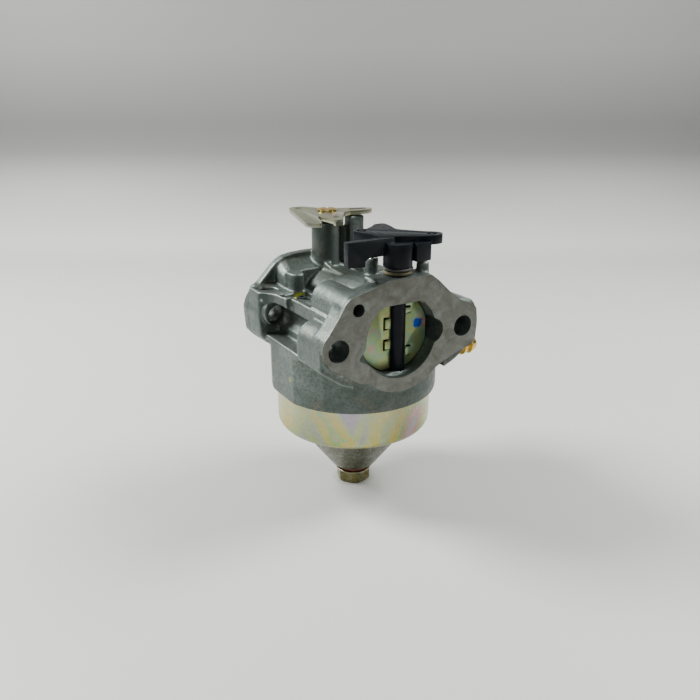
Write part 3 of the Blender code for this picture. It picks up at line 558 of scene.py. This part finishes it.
def make_casting(mats):
    raw = join([stretched_body(), bar_rim()], "casting")
    voxel(raw, VOXEL)
    relax(raw, 10)
    combine(raw, casting_trims(), "DIFFERENCE", "MANIFOLD")
    thin_out(raw, CASTING_TRIANGLES)
    smooth(raw, 50.0)
    fit_out(raw, "casting", "casting", "die_cast_alloy", mats, "carburetor_body")
    return paint_casting(raw)


def paint_casting(obj):
    """Give the milled faces the second material."""
    for face in obj.data.polygons:
        spot = face.center / MM
        normal = face.normal
        front = spot.y < FRONT_Y + TOUCH and normal.y < -0.9
        rear = spot.y > REAR_Y - TOUCH and normal.y > 0.9
        face.material_index = 1 if front or rear else 0
        face.use_smooth = not (front or rear)
    return obj


# ------------------------------------------------------------ bowl side

def make_bowl(mat):
    outer = [(BOWL_R, 37.6), (BOWL_R, 25.2), (24.22, 24.5), (24.0, 23.9), (23.65, 23.35)]
    outer += [(23.15, 22.85), (22.55, 22.45), (21.8, 22.15), (20.9, 21.95), (19.4, 21.75)]
    outer += [(18.7, 21.5), (18.2, 21.1), (7.5, 6.75), (7.0, 6.2), (6.5, 5.8), (5.8, 5.6)]
    inner = [(3.5, 5.6), (3.5, 6.5), (5.6, 6.6), (18.0, 22.5), (21.5, 22.9), (22.6, 23.5)]
    inner += [(23.2, 24.4), (23.4, 25.4), (23.4, 37.6)]
    bowl = lathe(outer + inner, "z", AXIS, 144)
    smooth(bowl, 30.0)
    return fit_out(bowl, "bowl", "casting", "yellow_zinc_bowl", [mat], "float_bowl")


def hexagon(across, spin):
    """Six corners of a hexagon by its width across flats, turned by an angle."""
    reach = across / 2 / cos(pi / 6)
    turn = [radians(60 * i + spin) for i in range(6)]
    return [(reach * cos(t), reach * sin(t)) for t in turn]


def make_bolt(mat):
    bolt = prism(rounded(hexagon(10.0, 8), 0.5), "z", 0.0, 4.0)
    chamfer = [(0.0, -1.0), (4.1, -1.0), (4.7, 0.0), (6.2, 0.9), (6.2, 6.0), (0.0, 6.0)]
    combine(bolt, [lathe(chamfer, "z", AXIS)], "INTERSECT")
    shank = [(0.0, 3.5), (4.9, 3.5), (5.5, 3.7), (5.7, 3.9), (5.7, 4.3), (5.6, 4.4)]
    shank += [(3.0, 4.4), (3.0, 17.4), (2.4, 18.2), (0.0, 18.2)]
    combine(bolt, [lathe(shank, "z", AXIS, 72)], "UNION")
    smooth(bolt, 28.0)
    return fit_out(bolt, "bolt", "casting", "olive_zinc_bolt", [mat], "bowl_bolt")


# ------------------------------------------------------------ throttle

def lever_outline():
    rear = [(-8.3, 25.4), (-7.9, 26.9), (-6.6, 28.0), (-4.6, 28.4), (-2.8, 27.8)]
    back = [(-1.6, 26.4), (0.4, 22.8), (3.0, 20.4), (7.6, 18.4), (11.6, 16.6)]
    right = [(13.9, 15.8), (15.0, 14.2), (14.6, 12.4), (12.6, 11.3), (9.6, 11.5)]
    front = [(6.0, 12.5), (3.4, 11.2), (0.6, 7.0), (-3.4, 0.2), (-6.0, 0.6), (-6.2, 5.0)]
    wing = [(-6.5, 9.4), (-7.5, 8.4), (-10.6, 0.6), (-11.6, -1.7), (-14.6, 0.2)]
    return (rear + back + right + front + wing + [(-15.2, 1.4)])[::-1]


def arc(centre, radius, start, steps):
    """Half circle of points from a starting angle in degrees."""
    turn = [radians(start + 180 * k / steps) for k in range(steps + 1)]
    return [(centre[0] + radius * cos(t), centre[1] + radius * sin(t)) for t in turn]


def make_throttle_lever(mat):
    low = THROTTLE_TOP - 1.3
    plate = prism(rounded(lever_outline(), 0.8, 3), "z", low, THROTTLE_TOP)
    stop = box((8.2, 10.8), (16.9, 18.1), (THROTTLE_TOP - 4.6, THROTTLE_TOP - 0.4))
    lip = [(-3.5, 0.1), (-5.9, 0.5), (-5.8, 1.8), (-2.8, 1.4)]
    lip = prism(lip, "z", THROTTLE_TOP - 1.7, THROTTLE_TOP - 0.4)
    combine(plate, [stop, lip], "UNION")
    through = (low - 1.0, THROTTLE_TOP + 1.0)
    slot = arc((12.2, 13.9), 0.8, -108, 8) + arc((8.2, 15.2), 0.8, 72, 7)
    cuts = [prism(slot, "z", *through), rod(2.8, "z", THROTTLE, *through)]
    cuts += [rod(1.1, "z", (-5.2, 25.2), *through, 32), rod(1.0, "z", (-3.0, 5.0), *through, 32)]
    combine(plate, cuts, "DIFFERENCE")
    bevel(plate, 0.16)
    smooth(plate, 35.0)
    return fit_out(plate, "throttle_arm", "throttle", "pale_zinc_lever", [mat], "throttle_lever")


def driver_notch(top):
    """Narrow block that cuts a slanting notch into the shaft's head."""
    notch = box((-0.4, 0.4), (-4.0, 4.0), (top + 0.4, top + 2.0))
    notch.data.transform(Matrix.Rotation(radians(-31.0), 4, "Z"))
    notch.data.transform(Matrix.Translation((0.0, THROTTLE[1] * MM, 0.0)))
    return notch


def make_throttle_shaft(mat):
    top = THROTTLE_TOP
    profile = [(0.0, BORE - 9.8), (2.1, BORE - 9.8), (2.5, BORE - 9.4), (2.5, top + 0.3)]
    profile += [(2.9, top + 0.32), (3.05, top + 0.45), (3.0, top + 0.65), (2.7, top + 0.8)]
    profile += [(2.0, top + 0.92), (0.0, top + 0.95)]
    shaft = lathe(profile, "z", THROTTLE, 56)
    cuts = [box((-4.0, 4.0), (THROTTLE[1] - 0.8, THROTTLE[1] + 0.8), (BORE - 7.7, BORE + 7.7))]
    cuts.append(driver_notch(top))
    cuts += [rod(1.1, "y", (0.0, BORE + h), 12.0, 20.0, 24) for h in (-3.2, 3.2)]
    combine(shaft, cuts, "DIFFERENCE")
    smooth(shaft, 35.0)
    return fit_out(shaft, "throttle_spindle", "throttle", "brass", [mat], "throttle_shaft")


# ------------------------------------------------------------ choke

def choke_top_outline():
    finger = [(-2.9, -18.6), (-3.3, -15.1), (-4.5, -11.9), (-5.3, -8.2), (-4.6, -6.9)]
    finger += [(-3.2, -6.3), (-1.6, -6.6), (0.2, -7.0)]
    lobe = [(3.5, -4.6), (5.7, -2.3), (7.6, -2.0), (9.2, -2.5), (8.9, -5.0), (8.3, -7.5)]
    arm = [(7.2, -11.0), (7.6, -12.9), (11.3, -17.6), (14.8, -20.9), (15.3, -22.6)]
    front = [(13.9, -24.8), (11.6, -25.4), (6.8, -24.0), (2.2, -21.2), (-0.7, -20.1)]
    return (finger + lobe + arm + front)[::-1]


def ring_groove(centre, inner, outer, top):
    """Cutter for a ring-shaped recess that leaves a peg in the middle."""
    profile = [(inner, top - 0.7), (outer, top - 0.7), (outer, top + 1.0), (inner, top + 1.0)]
    return lathe(profile, "z", centre, 40)


def make_choke_lever(mat):
    low = CHOKE_TOP - 2.5
    lever = rod(4.1, "z", CHOKE, BORE + 19.6, CHOKE_TOP - 1.4, 72)
    shaft = rod(2.6, "z", CHOKE, BORE - 12.9, BORE + 21.0, 48)
    plate = prism(rounded(choke_top_outline(), 0.9, 3), "z", low, CHOKE_TOP)
    web = [(-14.8, 20.6), (-9.5, 20.3), (-9.5, 21.6), (-8.9, 22.2), (-7.8, 22.6)]
    web += [(0.0, 22.6), (0.0, 27.3), (-14.8, 27.3)]
    arm = prism(raised(web), "y", -21.4, -19.2)
    leg = box((4.6, 9.4), (-25.6, -23.4), (BORE + 20.8, low + 1.0))
    combine(lever, [shaft, plate, arm, leg], "UNION")
    slit = (CHOKE[1] - 0.7, CHOKE[1] + 0.7)
    cuts = [box((-9.0, 12.0), slit, (BORE - 14.0, BORE + 11.6))]
    cuts += [ring_groove(spot, 0.75, 1.35, CHOKE_TOP) for spot in ((-2.7, -8.6), (11.9, -22.4))]
    combine(lever, cuts, "DIFFERENCE")
    bevel(lever, 0.2)
    smooth(lever, 35.0)
    return fit_out(lever, "choke_arm", "choke", "black_plastic", [mat], "choke_lever")


def tang_slot(x, h, side, tall):
    """Opening in the choke plate beside the shaft, for one tang."""
    near, far = x - side * 0.9, x + side * 0.9
    low, high = h - tall / 2, h + tall / 2
    outline = [(near, low), (far, low), (far, high), (near, high)]
    return prism(raised(outline), "y", CHOKE[1] - 1.0, CHOKE[1] + 1.0)


def tang(x, h, side, tall):
    """Tongue that stands out of its slot and holds the plate on the shaft."""
    near, far = x - side * 1.3, x + side * 0.5
    low, high = h - tall / 2, h + tall / 2
    outline = [(near, low + 0.35), (far, low + 0.6), (far, high - 0.6), (near, high - 0.35)]
    return prism(raised(outline), "y", CHOKE[1] - 0.9, CHOKE[1] - 0.3)


def make_choke_plate(mat):
    edge = circle(11.25, (0.0, 0.0), 96)
    outline = [(min(x, 10.9), max(-10.4, min(9.6, h))) for x, h in edge]
    plate = prism(raised(outline), "y", CHOKE[1] - 0.4, CHOKE[1] + 0.4)
    tangs = ((-2.9, 3.3, -1, 3.8), (-2.9, -3.0, -1, 3.4), (4.6, 6.4, 1, 2.4), (5.0, -6.0, 1, 3.4))
    combine(plate, [tang_slot(*spec) for spec in tangs], "DIFFERENCE")
    combine(plate, [tang(*spec) for spec in tangs], "UNION")
    bevel(plate, 0.1)
    smooth(plate, 35.0)
    return fit_out(plate, "choke_disc", "choke", "choke_plate_zinc", [mat], "choke_plate")


# ------------------------------------------------------------ small pieces

def ring(name, radius, inner, centre, low, high, soft, slot, mat, node):
    """Flat washer with soft edges."""
    profile = [(inner, low + soft), (inner + soft, low), (radius - soft, low)]
    profile += [(radius, low + soft), (radius, high - soft), (radius - soft, high)]
    profile += [(inner + soft, high), (inner, high - soft)]
    obj = lathe(profile, "z", centre, 72)
    smooth(obj, 50.0)
    return fit_out(obj, name, "casting", slot, [mat], node)


def make_nipple(mat):
    """Brass spigot: plain end, collar and three hose barbs."""
    profile = [(1.7, 22.2), (1.7, 27.6), (3.4, 27.9), (3.6, 28.1), (3.6, 28.6), (3.4, 28.8)]
    profile += [(2.3, 28.9)]
    for start in (29.9, 33.2, 36.0):
        profile += [(2.3, start), (3.0, start + 0.05), (3.12, start + 0.2), (3.0, start + 0.6)]
        profile += [(2.35, start + 2.4)]
    profile += [(1.9, 38.6), (1.1, 38.6), (1.1, 22.2)]
    nipple = lathe(profile, "x", INLET, 72)
    smooth(nipple, 30.0)
    return fit_out(nipple, "hose_spigot", "casting", "brass", [mat], "fuel_inlet_nipple")


def make_rings(mats):
    ring("choke_felt", 4.1, 2.95, CHOKE, FELT_LOW, FELT_LOW + 1.0, 0.25, "beige_felt",
         mats["felt"], "choke_felt_washer")
    ring("choke_ring", 4.3, 2.95, CHOKE, FELT_LOW + 1.3, FELT_LOW + 1.9, 0.2, "dark_foam",
         mats["foam"], "choke_seal_ring")
    ring("shaft_ring", 3.9, 2.85, THROTTLE, SEAL_LOW, SEAL_LOW + 0.9, 0.2, "white_nylon",
         mats["nylon"], "throttle_shaft_seal")
    ring("bolt_washer", 5.4, 3.4, AXIS, 4.7, 5.3, 0.15, "red_fibre", mats["fibre"],
         "bowl_bolt_washer")


def paint_cad_pieces(mats):
    """Materials for the CAD pieces that stay visible, by their own slot names."""
    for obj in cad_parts.values():
        if obj.hide_render:
            continue
        name = obj.data.materials[0].name.split(".")[0] if obj.data.materials else ""
        obj.data.materials.clear()
        obj.data.materials.append(mats.get(name, mats["steel"]))


# ------------------------------------------------------------ stage

def sweep_material():
    """Pale booth sheet, with a painted contact shadow under the bolt and painted shade that
    changes with height up its curve and wall.
    """
    look = Look("booth_sheet")
    tone = look.ramp(look.noise(0.004, 3.0), (0.3, (0.50, 0.505, 0.485)),
                     (0.7, (0.53, 0.535, 0.510)))
    # Painted contact shadow: a dark spot on the sheet under the bolt.
    near = look.dot((0.0, 0.0, 0.0), 7.0, 3.0)
    tone = look.mix(look.math("MULTIPLY", near, 0.75), tone, (0.11, 0.10, 0.06))
    shade = look.ramp(look.along(2, 0.0, 160.0), (0.0, 0.96), (0.05, 1.0), (0.12, 0.86),
                      (0.25, 0.60), (0.45, 0.32), (0.60, 0.30), (0.95, 0.42))
    tone = look.mix(1.0, tone, shade, "MULTIPLY")
    normal = look.bump(look.noise(0.3, 2.0), 0.02, 0.3)
    return look.done(tone, 0.55, 0.0, normal)


def booth_profile():
    """Distance and height in metres along a floor, a quarter bend and a wall."""
    flat, bend, wall = 0.30, 0.09, 1.2
    turns = [pi / 2 * k / 16 for k in range(1, 17)]
    curve = [(flat + bend * sin(t), bend * (1 - cos(t))) for t in turns]
    return [(-1.2, 0.0), (flat, 0.0)] + curve + [(flat + bend, wall)]


def make_stage():
    """Floor that curves up into a wall behind the part."""
    ahead = Vector((VIEW[0], VIEW[1], 0.0))
    side = Vector((VIEW[1], -VIEW[0], 0.0))
    bm = bmesh.new()
    rows = []
    for along, up in booth_profile():
        ends = [ahead * along + side * s + Vector((0, 0, up)) for s in (-1.5, 1.5)]
        rows.append([bm.verts.new(p) for p in ends])
    for one, two in zip(rows, rows[1:]):
        bm.faces.new((one[0], one[1], two[1], two[0]))
    booth = bm_object("booth", bm)
    booth.data.shade_smooth()
    booth.data.materials.append(sweep_material())


def area_light(name, spot, aim, size, power):
    """Round soft light at a spot, turned to its aim; lengths in metres."""
    data = bpy.data.lights.new(name, "AREA")
    data.shape = "DISK"
    data.size = size
    data.energy = power
    obj = add_object(name, data)
    obj.location = spot
    obj.rotation_mode = "QUATERNION"
    obj.rotation_quaternion = (Vector(aim) - Vector(spot)).to_track_quat("-Z", "Y")


def make_lights():
    world = bpy.data.worlds.new("room")
    bpy.context.scene.world = world
    world.use_nodes = True
    sky = world.node_tree.nodes["Background"]
    sky.inputs["Color"].default_value = (0.95, 0.98, 1.0, 1.0)
    sky.inputs["Strength"].default_value = 0.03
    area_light("key_left", (-0.30, 0.28, 0.40), (0.0, 0.0, 0.03), 0.22, 7.6)
    area_light("key_right", (0.33, -0.09, 0.40), (0.0, 0.0, 0.03), 0.24, 4.3)
    area_light("fill", (-0.30, -0.42, 0.34), (0.0, 0.0, 0.05), 0.50, 0.9)


def make_camera():
    data = bpy.data.cameras.new("camera")
    data.lens = LENS
    data.sensor_width = SENSOR
    data.clip_start = 0.01
    obj = add_object("camera", data)
    obj.location = CAMERA_SPOT
    obj.rotation_mode = "QUATERNION"
    obj.rotation_quaternion = (-Vector(CAMERA_BACK)).to_track_quat("-Z", "Y")
    bpy.context.scene.camera = obj


def make_materials():
    """Materials that several pieces share, by the name of their slot."""
    return {
        "brass": worn_brass(),
        "steel": plain("bright_steel", (0.42, 0.43, 0.44), (0.62, 0.63, 0.64), 0.26, 1.0),
        "felt": plain("felt", (0.055, 0.048, 0.022), (0.11, 0.10, 0.05), 0.9, 0.0, 0.15, 3.0),
        "foam": plain("foam", (0.02, 0.02, 0.018), (0.06, 0.06, 0.055), 0.85, 0.0, 0.08, 3.0),
        "nylon": plain("nylon", (0.60, 0.60, 0.56), (0.76, 0.76, 0.72), 0.45, 0.0),
        "fibre": plain("fibre", (0.12, 0.012, 0.01), (0.28, 0.04, 0.03), 0.65, 0.0),
        "float_resin": plain("resin", (0.68, 0.66, 0.56), (0.80, 0.78, 0.70), 0.45, 0.0),
        "black_rubber": plain("rubber", (0.01, 0.01, 0.01), (0.03, 0.03, 0.03), 0.65, 0.0),
        "black_plastic": black_mould(),
    }


def main():
    mats = make_materials()
    make_casting([cast_alloy(), milled_alloy()])
    make_bowl(yellow_zinc("bowl_zinc", (0.32, 0.33, 0.20), 0.85, 0.24, 0.36, 21.9))
    make_bolt(yellow_zinc("bolt_zinc", (0.085, 0.075, 0.018), 0.12, 0.28, 0.42))
    make_throttle_lever(yellow_zinc("lever_zinc", (0.27, 0.275, 0.20), 0.15, 0.30, 0.42))
    make_throttle_shaft(mats["brass"])
    make_choke_lever(mats["black_plastic"])
    make_choke_plate(plate_zinc())
    make_nipple(mats["brass"])
    make_rings(mats)
    paint_cad_pieces(mats)
    make_stage()
    make_lights()
    make_camera()


main()
